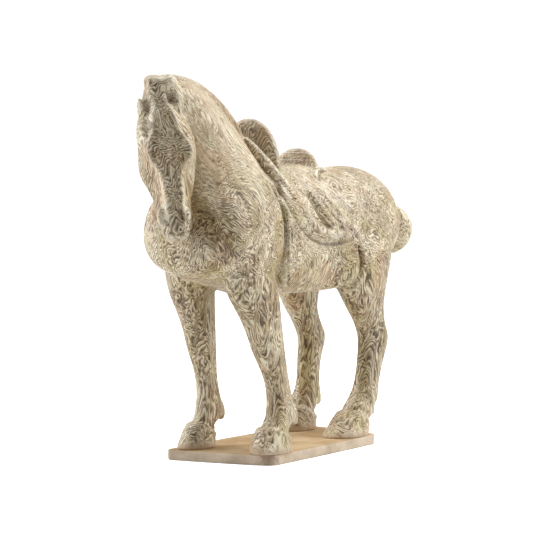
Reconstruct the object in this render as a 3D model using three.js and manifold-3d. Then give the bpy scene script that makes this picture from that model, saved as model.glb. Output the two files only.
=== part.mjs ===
import * as THREE from 'three';
import Module from 'manifold-3d';

// Pottery horse, saddled and standing on a plain clay slab, in millimetres, +Z up.
// The figure is laid out facing -Y with its left side at +X and the slab's underside at Z = 0.
// At the end the whole group is shifted so that its box is centred over the origin.

// Slab
const SLAB_THICK = 11;
const SLAB_CORNERS = {
  frontRight: [-57, -123, 8],
  frontLeft: [61, -100, 15],
  backLeft: [53, 105, 7],
  backRight: [-58, 127, 8],
};
const SLAB_BOW = 1.5;
const SLAB_EDGE = 1.2;

// How far the rounded ends of forms reach past their last ring, how many rings each has, and how
// far short of its point it stops, in rings
const CHEST_TIP = 20;
const RUMP_TIP = 15;
const NECK_TIP = 12;
const MANE_TIP = 6;
const TAIL_TIP = 5;
const HEAD_TIPS = 8;
const TIP_RINGS = 3;
const TIP_SLACK = 0.35;

// Step along a path over which its heading is measured
const NUDGE = 0.02;

const TRUNK_MID_Z = 235;
const LEG_POWER = 2.2;

// Head: turned to the horse's left and tipped a little to that side
const HEAD_CENTRE = [5.5, -203.5, 320];
const HEAD_TURN = THREE.MathUtils.degToRad(44);
const HEAD_TIP = 0.125;
const EYE = { left: 21, out: 8, z: 340, reach: [6.5, 10, 6] };
const NOSTRIL = { left: 12, shift: -1.5, out: 13, z: 255, reach: [5, 7, 9.5] };
const EAR_HEIGHTS = { right: 357, left: 369 };
const FORELOCK = {
  left: -2.5, out: -1, top: 391, foot: 369, halfWidth: 10, front: 16, back: 14, power: 4,
};

// Saddle
const POMMEL = { y: -50, z: 292, rise: 56, halfWidth: 35, thick: 10, lean: -0.08 };
const CANTLE = { y: 28, z: 280, rise: 36, halfWidth: 29.5, thick: 8, lean: 0.12 };
const ARCH_STEPS = 16;
const ARCH_ROUNDNESS = 0.8;
const ARCH_FOOT = { inset: 0.8, depth: 12 };
const ARCH_LAYERS = [[-0.5, 0.9], [-0.3, 1], [0.3, 1], [0.5, 0.9]];
const CLOTH_THICK = 4;
const FLAP = {
  middleY: -1,
  halfLength: 66,
  middleTurn: THREE.MathUtils.degToRad(80),
  halfTurn: THREE.MathUtils.degToRad(71),
  power: 4,
  lobePower: 2.2,
  hang: 3.4,
  // Rows of the panel from its hidden rim to its middle: share of its size, lift in thicknesses
  rims: [[1, -4], [1, 0.2], [0.985, 0.75], [0.94, 1], [0.6, 1], [0.25, 1]],
};
// Above the knot the flap's rear edge is cut back by this share, between two turns from the spine
const FLAP_CUT = {
  share: 0.82,
  from: THREE.MathUtils.degToRad(52),
  to: THREE.MathUtils.degToRad(90),
};
// Its low rear lobe stands off the thigh, between these places along Y and turns from the spine
const FLAP_FLARE = {
  reach: 8,
  y: [20, 62],
  turn: [THREE.MathUtils.degToRad(85), THREE.MathUtils.degToRad(118)],
};
const SEAT = {
  y: -11, z: 288, length: 84, halfWidth: 30, rise: 9, dip: 0.4, depth: 14, power: 2.4,
};

const BODY_CLAY = { color: 0xa99b80, roughness: 0.35, metalness: 0 };
const SLAB_CLAY = { color: 0xb79d76, roughness: 0.85, metalness: 0 };

const wasm = await Module();
wasm.setup();

// Value of every column of a table at place t, by a smooth curve through its rows.
// The first column is the place along the table.
function along(rows, t) {
  let i = 0;
  while (i < rows.length - 2 && t > rows[i + 1][0]) i += 1;
  const [before, from, to, after] = [rows[Math.max(i - 1, 0)], rows[i], rows[i + 1],
    rows[Math.min(i + 2, rows.length - 1)]];
  const span = to[0] - from[0];
  const u = (t - from[0]) / span;
  return from.map((value, k) => {
    const slopeIn = (to[k] - before[k]) / (to[0] - before[0]) * span;
    const slopeOut = (after[k] - from[k]) / (after[0] - from[0]) * span;
    const u2 = u * u;
    const u3 = u2 * u;
    return value * (2 * u3 - 3 * u2 + 1) + slopeIn * (u3 - 2 * u2 + u)
      + to[k] * (3 * u2 - 2 * u3) + slopeOut * (u3 - u2);
  });
}

// Closed solid from rings of points, each ring the same count, with a fan at each end.
function solidFromRings(rings) {
  const sides = rings[0].length;
  const points = rings.flat();
  const faces = [];
  for (let r = 0; r < rings.length - 1; r += 1) {
    for (let s = 0; s < sides; s += 1) {
      const a = r * sides + s;
      const b = r * sides + (s + 1) % sides;
      faces.push([a, b, b + sides], [a, b + sides, a + sides]);
    }
  }
  for (const [ring, turn] of [[0, 1], [rings.length - 1, -1]]) {
    const middle = new THREE.Vector3();
    rings[ring].forEach((p) => middle.addScaledVector(p, 1 / sides));
    const m = points.push(middle) - 1;
    for (let s = 0; s < sides; s += 1) {
      const a = ring * sides + s;
      const b = ring * sides + (s + 1) % sides;
      faces.push(turn > 0 ? [m, b, a] : [m, a, b]);
    }
  }
  return solid(points, faces);
}

// Manifold solid from points and triangles, turned so that its faces point outwards.
function solid(points, faces) {
  const volume = faces.reduce((sum, [a, b, c]) => {
    const cross = new THREE.Vector3().crossVectors(points[b], points[c]);
    return sum + points[a].dot(cross);
  }, 0);
  const vertProperties = new Float32Array(points.flatMap((p) => p.toArray()));
  const ordered = volume > 0 ? faces : faces.map(([a, b, c]) => [a, c, b]);
  const triVerts = new Uint32Array(ordered.flat());
  return new wasm.Manifold(new wasm.Mesh({ numProp: 3, vertProperties, triVerts }));
}

// A sine or cosine made squarer or rounder: its size raised to 2 / power, its sign kept.
function bent(value, power) {
  return Math.sign(value) * Math.abs(value) ** (2 / power);
}

// One ring: a superellipse of half width w, reaching `up` one way and `down` the other.
function ring(centre, across, deep, { w, up, down, power = 2 }, sides) {
  return Array.from({ length: sides }, (_, s) => {
    const angle = s / sides * 2 * Math.PI;
    const reach = bent(Math.sin(angle), power);
    return new THREE.Vector3().copy(centre)
      .addScaledVector(across, w * bent(Math.cos(angle), power))
      .addScaledVector(deep, reach * (reach > 0 ? up : down));
  });
}

// Rounded end: rings that shrink along a quarter circle, from the table's end outwards.
function domeRings(end, outward, length, make, steps = TIP_RINGS) {
  return Array.from({ length: steps }, (_, k) => {
    const angle = (k + 1) / (steps + TIP_SLACK) * Math.PI / 2;
    return make(end, Math.cos(angle), outward.clone().multiplyScalar(length * Math.sin(angle)));
  });
}

const X = new THREE.Vector3(1, 0, 0);
const Y = new THREE.Vector3(0, 1, 0);
const Z = new THREE.Vector3(0, 0, 1);
const NOWHERE = new THREE.Vector3();

// Egg-shaped form: its middle, its two level directions, its reach along them and along Z.
function egg(centre, across, deep, [wide, far, high], columns = 8, rows = 5) {
  return solidFromRings(Array.from({ length: rows - 1 }, (_, k) => {
    const angle = (k + 1) / rows * Math.PI;
    const size = Math.sin(angle);
    const level = centre.clone().addScaledVector(Z, high * Math.cos(angle));
    return ring(level, across, deep, { w: wide * size, up: far * size, down: far * size }, columns);
  }));
}

// Trunk, from breast to rump. Columns: place along Y, height of the widest line,
// half width, reach above and below that line, squareness.
const TRUNK = [
  [-166, 231, 49, 54, 38, 2.1],
  [-148, 232, 57, 68, 44, 2.1],
  [-115, 234, 59, 76, 55, 2.1],
  [-70, TRUNK_MID_Z, 54, 71, 67, 2.2],
  [-20, TRUNK_MID_Z, 51, 62, 69, 2.2],
  [35, TRUNK_MID_Z, 51, 57, 71, 2.2],
  [80, TRUNK_MID_Z, 51, 58, 70, 2.2],
  [120, TRUNK_MID_Z, 52, 60, 59, 2.2],
  [150, 234, 50, 52, 52, 2.2],
  [168, 231, 41, 39, 40, 2.1],
];

function trunk(stations = 18, sides = 24) {
  const make = ([y, z, w, up, down, power], scale = 1, shift = NOWHERE) => ring(
    new THREE.Vector3(0, y, z).add(shift), X, Z,
    { w: w * scale, up: up * scale, down: down * scale, power }, sides);
  const start = TRUNK[0];
  const end = TRUNK[TRUNK.length - 1];
  const middle = Array.from({ length: stations + 1 }, (_, k) => (
    make(along(TRUNK, THREE.MathUtils.lerp(start[0], end[0], k / stations)))));
  return solidFromRings([
    ...domeRings(start, Y.clone().negate(), CHEST_TIP, make).reverse(),
    ...middle,
    ...domeRings(end, Y, RUMP_TIP, make),
  ]);
}

// Body swept along a path in the middle plane or beside it, its rings square to the path.
// Columns: step, x, y, z, half width, reach to the back (crest), reach to the front, squareness.
function swept(rows, stations, sides, tips = [0, 0]) {
  const at = (t) => new THREE.Vector3(...along(rows, t).slice(1, 4));
  const first = rows[0][0];
  const last = rows[rows.length - 1][0];
  const place = (t) => {
    const ahead = at(Math.min(t + NUDGE, last));
    const heading = ahead.sub(at(Math.max(t - NUDGE, first))).normalize();
    const across = X.clone().addScaledVector(heading, -heading.x).normalize();
    return { heading, across, deep: new THREE.Vector3().crossVectors(heading, across) };
  };
  const make = (t, scale = 1, shift = NOWHERE) => {
    const [, , , , w, up, down, power = 2] = along(rows, t);
    const { across, deep } = place(t);
    return ring(at(t).add(shift), across, deep,
      { w: w * scale, up: up * scale, down: down * scale, power }, sides);
  };
  const middle = Array.from({ length: stations + 1 }, (_, k) => (
    make(THREE.MathUtils.lerp(first, last, k / stations))));
  const startTip = tips[0]
    ? domeRings(first, place(first).heading.negate(), tips[0], make).reverse() : [];
  const endTip = tips[1] ? domeRings(last, place(last).heading, tips[1], make) : [];
  return solidFromRings([...startTip, ...middle, ...endTip]);
}

// Neck: a broad wedge from the shoulders up to the poll.
const NECK = [
  [0, 0, -104, 238, 56, 60, 72, 2.3],
  [1, 0, -116, 272, 54, 58, 64, 2.2],
  [2, 0, -130, 306, 40, 48, 50, 2.1],
  [3, 0, -149, 336, 32, 38, 40, 2],
  [4, 0, -169, 356, 26, 29, 32, 2],
  [5, 0, -188, 368, 22, 21, 26, 2],
  [6, 2, -200, 371, 17, 17, 18, 2],
];

// Clipped mane: a low band along the crest of the neck, up to the poll.
const MANE = [
  [0, 0, -62, 298, 9, 6, 14, 3.4],
  [1, 0, -84, 329, 10, 9, 13, 3.4],
  [2, 0, -103, 349, 10.5, 8, 12, 3.4],
  [3, 0, -128, 366, 10.5, 8, 12, 3.4],
  [4, 0, -156, 379, 10, 8, 12, 3.4],
  [5, -1, -184, 386, 9.5, 7, 12, 3.4],
  [6, -2, -202, 385, 9, 7, 12, 3],
];

// Tail: bound short, springing from the rump and bent down to the left.
const TAIL = [
  [0, 6, 160, 247, 12, 11, 11],
  [1, 13, 180, 243, 11, 10, 11],
  [2, 20, 195, 237, 10, 9.5, 11],
  [3, 24, 203, 226, 9.5, 9, 11],
  [4, 23, 197, 212, 9, 8.5, 9],
  [5, 18, 187, 204, 8, 7, 7],
];

// Legs: how wide and deep each kind of leg is.
// Columns: height, half width, reach to the front, reach to the back.
const FORELEG_SIZES = [
  [262, 10, 22, 22],
  [232, 19, 32, 32],
  [200, 19.5, 37, 34],
  [172, 17.5, 34, 34],
  [148, 15.5, 27, 26],
  [130, 14.5, 22, 22],
  [115, 14.5, 19.5, 18],
  [98, 12, 16.5, 16.5],
  [82, 10.8, 14.2, 14.2],
  [64, 11.2, 15.5, 15.5],
  [50, 13, 18, 19.5],
  [42, 13, 17.5, 18.5],
  [35, 14, 21, 17],
  [29, 16.5, 22, 19.5],
  [22, 17, 24, 21],
  [14, 18.5, 28, 22],
  [SLAB_THICK, 18, 27.5, 21.5],
];
const HINDLEG_SIZES = [
  [268, 10, 26, 24],
  [235, 20, 40, 37],
  [205, 24, 45, 40],
  [175, 20, 35, 37],
  [150, 15.5, 25, 27],
  [130, 12.5, 19.5, 21],
  [112, 12, 18.5, 22],
  [98, 11.5, 17.5, 18.5],
  [80, 10.5, 16, 16],
  [60, 10.5, 16, 16.5],
  [48, 12.5, 19, 19.5],
  [40, 13.5, 22, 18],
  [34, 15.5, 25, 20],
  [28, 17, 25.5, 23.5],
  [22, 18, 25.5, 25],
  [14, 20, 29.5, 26],
  [SLAB_THICK, 19.5, 29, 25.5],
];

// The line that each leg follows, by height: x and y.
const LEG_LINES = {
  foreLeft: [
    [262, 20, -112], [232, 31, -112], [200, 36, -110], [172, 39, -102], [148, 39.5, -90],
    [115, 40, -77.6], [82, 41, -64.5], [50, 42.5, -58.5], [42, 43, -63], [34, 43.5, -73.5],
    [SLAB_THICK, 44, -77]],
  foreRight: [
    [262, -20, -112], [232, -31, -112], [200, -35, -110], [172, -38, -102], [150, -38, -94.5],
    [110, -39, -83], [75, -39, -75], [50, -39.5, -71], [42, -39.5, -73.5], [32, -40, -84.5],
    [SLAB_THICK, -40, -91]],
  hindLeft: [
    [268, 17, 118], [235, 27, 114], [205, 34, 104], [175, 40, 93], [150, 41, 98],
    [130, 40, 109.5], [111, 39, 118], [85, 37.6, 115], [60, 36.5, 108.5], [48, 36, 104],
    [38, 35.5, 96], [28, 35, 84], [SLAB_THICK, 34, 74]],
  hindRight: [
    [268, -17, 118], [235, -27, 114], [205, -34, 104], [175, -39, 92], [145, -40, 96.5],
    [130, -40, 105.5], [108, -40, 117.5], [85, -40, 114], [60, -40, 111], [48, -40, 109],
    [38, -40, 102], [30, -40, 94.5], [SLAB_THICK, -40, 88.5]],
};
// Rings of a leg stand closer together low down, by this power of their share of the way
const LEG_SPREAD = 0.8;

// Each leg: its line, its sizes, its stoutness, and its fetlock spur's height and place behind.
const LEGS = [
  [LEG_LINES.foreLeft, FORELEG_SIZES, 1, [42, 14]],
  [LEG_LINES.foreRight, FORELEG_SIZES, 0.9, [35, 12]],
  [LEG_LINES.hindLeft, HINDLEG_SIZES, 1.04, [36, 14]],
  [LEG_LINES.hindRight, HINDLEG_SIZES, 0.96, [39, 13]],
];
const SPUR_REACH = [7.5, 6, 10];

// Puts the sizes and the line of a leg together, a row for each height in the sizes.
function legRows(sizes, line) {
  const flipped = line.map(([z, x, y]) => [-z, x, y]);
  return sizes.map(([z, w, front, back]) => {
    const [, x, y] = along(flipped, -z);
    return [-z, x, y, w, front, back];
  });
}

// Leg: level rings from inside the trunk down to the flat sole.
function leg(line, sizes, stout, sides = 12, stations = 24) {
  const rows = legRows(sizes, line);
  const [top] = rows[0];
  const [sole] = rows[rows.length - 1];
  return solidFromRings(Array.from({ length: stations + 1 }, (_, k) => {
    const share = (k / stations) ** LEG_SPREAD;
    const [t, x, y, w, front, back] = along(rows, THREE.MathUtils.lerp(top, sole, share));
    return ring(new THREE.Vector3(x, y, k === stations ? SLAB_THICK : -t), X, Y.clone().negate(),
      { w: w * stout, up: front * stout, down: back * stout, power: LEG_POWER }, sides);
  }));
}

// Fetlock spur: a small tuft behind the leg, above the hoof.
function spur(line, stout, [height, back]) {
  const [, x, y] = along(line.map(([z, ...place]) => [-z, ...place]), -height);
  return egg(new THREE.Vector3(x, y + back * stout, height), X, Y, SPUR_REACH);
}

// Head directions: out of the face, and to the head's own left
const FACE = new THREE.Vector3(Math.sin(HEAD_TURN), -Math.cos(HEAD_TURN), 0);
const CHEEK = new THREE.Vector3(Math.cos(HEAD_TURN), Math.sin(HEAD_TURN), 0);

// Place on the head: to its left, out of its face, and its height.
function onHead(left, out, z) {
  const tip = HEAD_TIP * (HEAD_CENTRE[2] - z);
  return new THREE.Vector3(HEAD_CENTRE[0], HEAD_CENTRE[1], z)
    .addScaledVector(CHEEK, left + tip)
    .addScaledVector(FACE, out);
}

// Skull and muzzle, level rings from the poll down to the chin.
// Columns: minus height, shift to the left, half width of the flat front of the face and how far
// forward it lies, half width of the cheeks and how far forward they are widest, reach to the throat.
const HEAD = [
  [-382, -1, 5, 9, 11, -6, 22],
  [-372, -1, 5.5, 14, 14.5, -4, 27],
  [-362, 0, 7.5, 18.5, 18.5, -2, 29],
  [-353, 0.5, 11, 21.5, 22.5, -2, 29],
  [-340, 0.5, 14, 24.5, 26.5, -1, 29],
  [-328, 1, 20.5, 26, 28, 0, 29],
  [-319, 1, 22.5, 26.3, 28.3, 0, 30],
  [-311, 0.3, 19.5, 26, 28.3, -2, 30],
  [-301, -0.5, 12.5, 25.3, 27.8, -5, 29],
  [-291, -0.5, 9.5, 24.4, 26.3, -6, 27],
  [-281, 0.3, 8.5, 23.5, 22.5, -5, 23],
  [-270, 0, 8, 22.8, 18.5, -1, 18],
  [-258, -0.5, 8, 22, 17.5, 4, 15],
  [-248, -1, 8.5, 21, 16.5, 6, 14],
  [-240, -1, 8, 19.5, 13.5, 7, 12],
];
// Where the ring turns from the cheek to the throat: shares of its half width and of its reach back
const JOWL = [[0.75, 0.65], [0.4, 0.93]];

// Each ring runs flat across the face, turns a firm edge and slopes back to the cheek and throat.
function headRing([t, left, front, ahead, cheek, level, back], scale = 1, shift = NOWHERE) {
  const side = [
    [front / 2, ahead],
    [front, ahead],
    [(front + cheek) / 2, (ahead + level) / 2],
    [cheek, level],
    ...JOWL.map(([wide, deep]) => [cheek * wide, -back * deep]),
  ];
  const outline = [...side, ...side.map(([x, out]) => [-x, out]).reverse()];
  return outline.map(([x, out]) => onHead(left + x * scale, out * scale, -t).add(shift));
}

function skull(stations = 18) {
  const start = HEAD[0];
  const end = HEAD[HEAD.length - 1];
  return solidFromRings([
    ...domeRings(start, Z, HEAD_TIPS, headRing, 2).reverse(),
    ...Array.from({ length: stations + 1 }, (_, k) => (
      headRing(along(HEAD, THREE.MathUtils.lerp(start[0], end[0], k / stations))))),
    ...domeRings(end, Z.clone().negate(), HEAD_TIPS, headRing),
  ]);
}

// Eyes and nostril wings, a swelling on each side.
function face() {
  return [-1, 1].flatMap((side) => [
    egg(onHead(side * EYE.left, EYE.out, EYE.z), CHEEK, FACE, EYE.reach),
    egg(onHead(side * NOSTRIL.left + NOSTRIL.shift, NOSTRIL.out, NOSTRIL.z), CHEEK, FACE,
      NOSTRIL.reach),
  ]);
}

// Ear columns: step, to the side, forward, height, half width, reach to the front and back.
const EAR = [
  [0, 13, 2, -14, 7, 8, 10],
  [1, 14.5, 2, -5, 8, 10, 10],
  [2, 16, 2, 4, 7.2, 9, 9],
  [3, 20, 2, 13, 1, 1.5, 2.5],
];

// Ear: a short leaf that stands up beside the poll.
function ear(side, height, stations = 6) {
  return solidFromRings(Array.from({ length: stations + 1 }, (_, k) => {
    const [, left, out, z, w, up, down] = along(EAR, k / stations * (EAR.length - 1));
    return ring(onHead(side * left, out, height + z), CHEEK, FACE, { w, up, down }, 10);
  }));
}

// Forelock: the squared end of the mane over the poll.
function forelock() {
  const { left, out, top, foot, halfWidth, front, back, power } = FORELOCK;
  return solidFromRings([foot, top].map((z) => ring(
    onHead(left, out, z), CHEEK, FACE, { w: halfWidth, up: front, down: back, power }, 16)));
}

// Saddle arch: a rounded plate across the back, leaning to the front or the rear.
function arch({ y, z, rise, halfWidth, thick, lean }) {
  const outline = Array.from({ length: ARCH_STEPS + 1 }, (_, k) => {
    const angle = k / ARCH_STEPS * Math.PI;
    return [halfWidth * Math.cos(angle), rise * Math.sin(angle) ** ARCH_ROUNDNESS];
  });
  const { inset, depth } = ARCH_FOOT;
  outline.push([-halfWidth * inset, -depth], [halfWidth * inset, -depth]);
  return solidFromRings(ARCH_LAYERS.map(([layer, scale]) => outline.map(([px, pz]) => (
    new THREE.Vector3(px * scale, y + layer * thick + lean * pz, z + pz * scale)))));
}

// Place on the trunk: along Y, turned down from the top by an angle, lifted off its surface.
// Below the widest line it hangs straighter than the trunk, as a loose cloth does.
function onTrunk(side, y, turn, lift) {
  const [, mid, w, up, down, power] = along(TRUNK, y);
  const square = Math.cos(turn) > 0 ? power : FLAP.hang;
  const wide = bent(Math.sin(turn), square);
  const high = bent(Math.cos(turn), square);
  const reach = high > 0 ? up : down;
  const out = new THREE.Vector3(side * wide / w, 0, high / reach).normalize();
  return new THREE.Vector3(side * w * wide, y, mid + reach * high).addScaledVector(out, lift);
}

// Saddle flap: a rounded panel of cloth down each side of the trunk, with a soft edge.
// It is laid out from its middle, by place along Y and by the angle down from the spine.
// Its cut rear edge runs slantwise up to the cantle, and its low rear lobe stands off the thigh.
function flap(side, spokes = 32) {
  const { smoothstep } = THREE.MathUtils;
  const rings = FLAP.rims.map(([share, lift]) => Array.from({ length: spokes }, (_, s) => {
    const angle = s / spokes * 2 * Math.PI;
    const inLobe = Math.cos(angle) > 0 && Math.sin(angle) > 0;
    const power = inLobe ? FLAP.lobePower : FLAP.power;
    const ahead = bent(Math.cos(angle), power);
    const turn = FLAP.middleTurn + share * FLAP.halfTurn * bent(Math.sin(angle), power);
    const slant = THREE.MathUtils.clamp((FLAP_CUT.to - turn) / (FLAP_CUT.to - FLAP_CUT.from), 0, 1);
    const reach = FLAP.halfLength * (ahead > 0 ? 1 - FLAP_CUT.share * slant : 1);
    const y = FLAP.middleY + share * reach * ahead;
    const flare = smoothstep(y, ...FLAP_FLARE.y) * smoothstep(turn, ...FLAP_FLARE.turn);
    const out = lift * CLOTH_THICK + FLAP_FLARE.reach * flare * Math.max(lift, 0);
    return onTrunk(side, y, turn, out);
  }));
  return solidFromRings(rings);
}

// Seat: a low pad between the two arches, dipping in the middle.
function seat(stations = 8) {
  const { y, z, length, halfWidth, rise, dip, depth, power } = SEAT;
  return solidFromRings(Array.from({ length: stations + 1 }, (_, k) => {
    const t = k / stations * 2 - 1;
    const centre = new THREE.Vector3(0, y + t * length / 2, z);
    return ring(centre, X, Z, { w: halfWidth, up: rise * (1 + dip * t * t), down: depth, power }, 14);
  }));
}

// Rolls of the gathered saddle cover. Each: its path x, y, z on the left side, and its thickness
// at its start, its middle and its end. The first runs from in front of the saddle to the knot.
const ROLLS = [
  { path: [[6, -78, 331], [16, -76, 323], [34, -73, 306], [46, -60, 284], [51, -41, 262],
    [54, -20, 243], [56, 2, 230], [57, 22, 227], [57, 38, 231]], sizes: [6, 6.5, 4] },
  { path: [[47, -14, 275], [52, -2, 257], [55, 16, 241], [57, 34, 232]], sizes: [2, 5.5, 3] },
  { path: [[46, 6, 276], [51, 18, 261], [54, 34, 247], [56, 48, 239]], sizes: [1.5, 4, 2] },
];
const ROLL_RINGS_PER_STEP = 2;
const ROLL_SIDES = 6;

// Roll of cloth along a path on one side, round in section.
function roll(side, { path, sizes }) {
  const last = path.length - 1;
  const rows = path.map(([x, y, z], k) => [k, side * x, y, z]);
  const sizeRows = sizes.map((size, k) => [k / (sizes.length - 1) * last, size]);
  const at = (t) => new THREE.Vector3(...along(rows, THREE.MathUtils.clamp(t, 0, last)).slice(1));
  const stations = last * ROLL_RINGS_PER_STEP;
  return solidFromRings(Array.from({ length: stations + 1 }, (_, k) => {
    const t = k / stations * last;
    const heading = at(t + NUDGE).sub(at(t - NUDGE)).normalize();
    const across = new THREE.Vector3().crossVectors(heading, X).normalize();
    const [, size] = along(sizeRows, t);
    const deep = new THREE.Vector3().crossVectors(across, heading);
    return ring(at(t), across, deep, { w: size, up: size, down: size }, ROLL_SIDES);
  }));
}

function union(pieces) {
  return pieces.reduce((whole, piece) => whole.add(piece));
}

function horse() {
  const bothSides = (make) => [-1, 1].flatMap(make);
  return union([
    trunk(),
    swept(NECK, 12, 20, [NECK_TIP, 0]),
    swept(MANE, 10, 10, [0, MANE_TIP]),
    swept(TAIL, 12, 10, [0, TAIL_TIP]),
    ...LEGS.map(([line, sizes, stout]) => leg(line, sizes, stout)),
    ...LEGS.map(([line, , stout, place]) => spur(line, stout, place)),
    skull(),
    ...face(),
    ear(-1, EAR_HEIGHTS.right),
    ear(1, EAR_HEIGHTS.left),
    forelock(),
    seat(),
    arch(POMMEL),
    arch(CANTLE),
    ...bothSides((side) => flap(side)),
    ...bothSides((side) => ROLLS.map((form) => roll(side, form))),
  ]);
}

// Slab: four uneven corners, rounded, with slightly bowed sides.
function slab() {
  const { frontRight, frontLeft, backLeft, backRight } = SLAB_CORNERS;
  const corners = [frontRight, frontLeft, backLeft, backRight];
  const shape = new THREE.Shape();
  corners.forEach(([x, y, radius], k) => {
    const corner = new THREE.Vector2(x, y);
    const before = new THREE.Vector2(...corners[(k + 3) % 4].slice(0, 2));
    const after = new THREE.Vector2(...corners[(k + 1) % 4].slice(0, 2));
    const start = corner.clone().add(before.sub(corner).setLength(radius));
    const end = corner.clone().add(after.clone().sub(corner).setLength(radius));
    if (k === 0) shape.moveTo(start.x, start.y);
    else shape.lineTo(start.x, start.y);
    shape.quadraticCurveTo(x, y, end.x, end.y);
    const [nx, ny, nextRadius] = corners[(k + 1) % 4];
    const next = new THREE.Vector2(nx, ny);
    const side = next.clone().sub(corner);
    const outwards = new THREE.Vector2(side.y, -side.x).setLength(SLAB_BOW);
    const stop = next.clone().sub(side.clone().setLength(nextRadius));
    const bulge = corner.clone().add(next).multiplyScalar(0.5).addScaledVector(outwards, 2);
    if (k < 3) shape.quadraticCurveTo(bulge.x, bulge.y, stop.x, stop.y);
    else shape.quadraticCurveTo(bulge.x, bulge.y, ...shape.getPoint(0).toArray());
  });
  return new THREE.ExtrudeGeometry(shape, {
    depth: SLAB_THICK - 2 * SLAB_EDGE,
    bevelThickness: SLAB_EDGE,
    bevelSize: SLAB_EDGE,
    bevelOffset: -SLAB_EDGE,
    bevelSegments: 1,
    curveSegments: 5,
  }).translate(0, 0, SLAB_EDGE);
}

function geometryOf(manifold) {
  const { vertProperties, triVerts } = manifold.getMesh();
  const geometry = new THREE.BufferGeometry();
  geometry.setAttribute('position', new THREE.BufferAttribute(vertProperties, 3));
  geometry.setIndex(new THREE.BufferAttribute(triVerts, 1));
  geometry.computeVertexNormals();
  return geometry;
}

function named(name, geometry, look) {
  const mesh = new THREE.Mesh(geometry, new THREE.MeshStandardMaterial(look));
  mesh.name = name;
  return mesh;
}

const group = new THREE.Group();
group.add(named('horse', geometryOf(horse()), BODY_CLAY));
group.add(named('base_slab', slab(), SLAB_CLAY));

const box = new THREE.Box3().setFromObject(group);
const middle = box.getCenter(new THREE.Vector3());
group.position.set(-middle.x, -middle.y, -box.min.z);
group.updateMatrixWorld(true);

export default group;
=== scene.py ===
import math

import bmesh
import bpy
import numpy as np
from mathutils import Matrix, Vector


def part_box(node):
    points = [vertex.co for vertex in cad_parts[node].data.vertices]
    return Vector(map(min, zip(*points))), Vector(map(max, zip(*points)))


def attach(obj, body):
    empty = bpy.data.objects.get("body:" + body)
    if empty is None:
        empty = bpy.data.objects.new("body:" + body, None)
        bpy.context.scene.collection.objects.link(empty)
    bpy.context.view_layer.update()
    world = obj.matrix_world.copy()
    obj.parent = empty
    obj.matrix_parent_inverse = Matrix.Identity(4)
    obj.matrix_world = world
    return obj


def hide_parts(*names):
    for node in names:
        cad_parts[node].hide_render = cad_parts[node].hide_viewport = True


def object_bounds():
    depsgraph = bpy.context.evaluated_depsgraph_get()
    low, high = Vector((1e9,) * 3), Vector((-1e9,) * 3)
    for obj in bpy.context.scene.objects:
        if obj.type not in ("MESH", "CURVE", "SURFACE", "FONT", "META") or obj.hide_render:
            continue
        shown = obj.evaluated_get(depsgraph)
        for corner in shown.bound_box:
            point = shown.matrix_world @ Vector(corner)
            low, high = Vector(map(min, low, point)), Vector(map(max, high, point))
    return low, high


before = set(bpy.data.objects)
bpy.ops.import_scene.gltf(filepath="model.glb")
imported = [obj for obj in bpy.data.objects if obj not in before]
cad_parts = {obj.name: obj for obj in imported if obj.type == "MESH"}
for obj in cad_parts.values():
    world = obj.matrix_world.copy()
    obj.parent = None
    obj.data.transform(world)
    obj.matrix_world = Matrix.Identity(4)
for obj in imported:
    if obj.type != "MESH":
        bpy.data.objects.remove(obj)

cad_low, cad_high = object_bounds()

# View and light
# The figure is seen from its front left and a little above, through a long lens. It stands on a
# white ground between two tall soft lights, so its flanks are paler than what faces the viewer.
# It is laid out in its own millimetres, whose origin the low corner of its slab gives.
MM = 0.001
SLAB_LOW = np.array([-59.034, -121.7, 0.0])
ORIGIN = np.array(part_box("base_slab")[0]) - MM * SLAB_LOW
VIEW_TURN = math.radians(35)
VIEW_RISE = math.radians(4)
VIEW_TARGET = ORIGIN + MM * np.array([10.0, -38.0, 196.0])
VIEW_DISTANCE = 2.88
LENS_SHARE = 2800 / 533
TO_VIEWER = np.array([
    math.sin(VIEW_TURN) * math.cos(VIEW_RISE),
    -math.cos(VIEW_TURN) * math.cos(VIEW_RISE),
    math.sin(VIEW_RISE),
])
TO_RIGHT = np.array([math.cos(VIEW_TURN), math.sin(VIEW_TURN), 0.0])


def aim(thing, place, target):
    """Puts a camera or a light at a place, looking at a target."""
    thing.location = place
    thing.rotation_euler = Vector(target - place).to_track_quat("-Z", "Y").to_euler()
    bpy.context.scene.collection.objects.link(thing)
    return thing


camera = bpy.data.cameras.new("view")
camera.sensor_width = 36
camera.lens = camera.sensor_width * LENS_SHARE
bpy.context.scene.camera = aim(
    bpy.data.objects.new("view", camera), VIEW_TARGET + VIEW_DISTANCE * TO_VIEWER, VIEW_TARGET)

# Each soft light: how far to the right, towards the viewer and up, its width, height and power.
SOFTBOXES = {
    "left_softbox": (-1.5, -0.25, 0.7, 1.2, 1.6, 21),
    "right_softbox": (1.3, -0.2, 1.1, 1.2, 1.6, 24),
    "top_softbox": (0.1, -0.1, 1.6, 1.4, 1.4, 12),
}
for name, (right, near, up, width, height, power) in SOFTBOXES.items():
    lamp = bpy.data.lights.new(name, "AREA")
    lamp.shape = "RECTANGLE"
    lamp.size = width
    lamp.size_y = height
    lamp.energy = power
    place = VIEW_TARGET + right * TO_RIGHT + near * TO_VIEWER + np.array([0, 0, up])
    aim(bpy.data.objects.new(name, lamp), place, VIEW_TARGET)

bpy.context.scene.view_settings.view_transform = "Standard"


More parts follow.
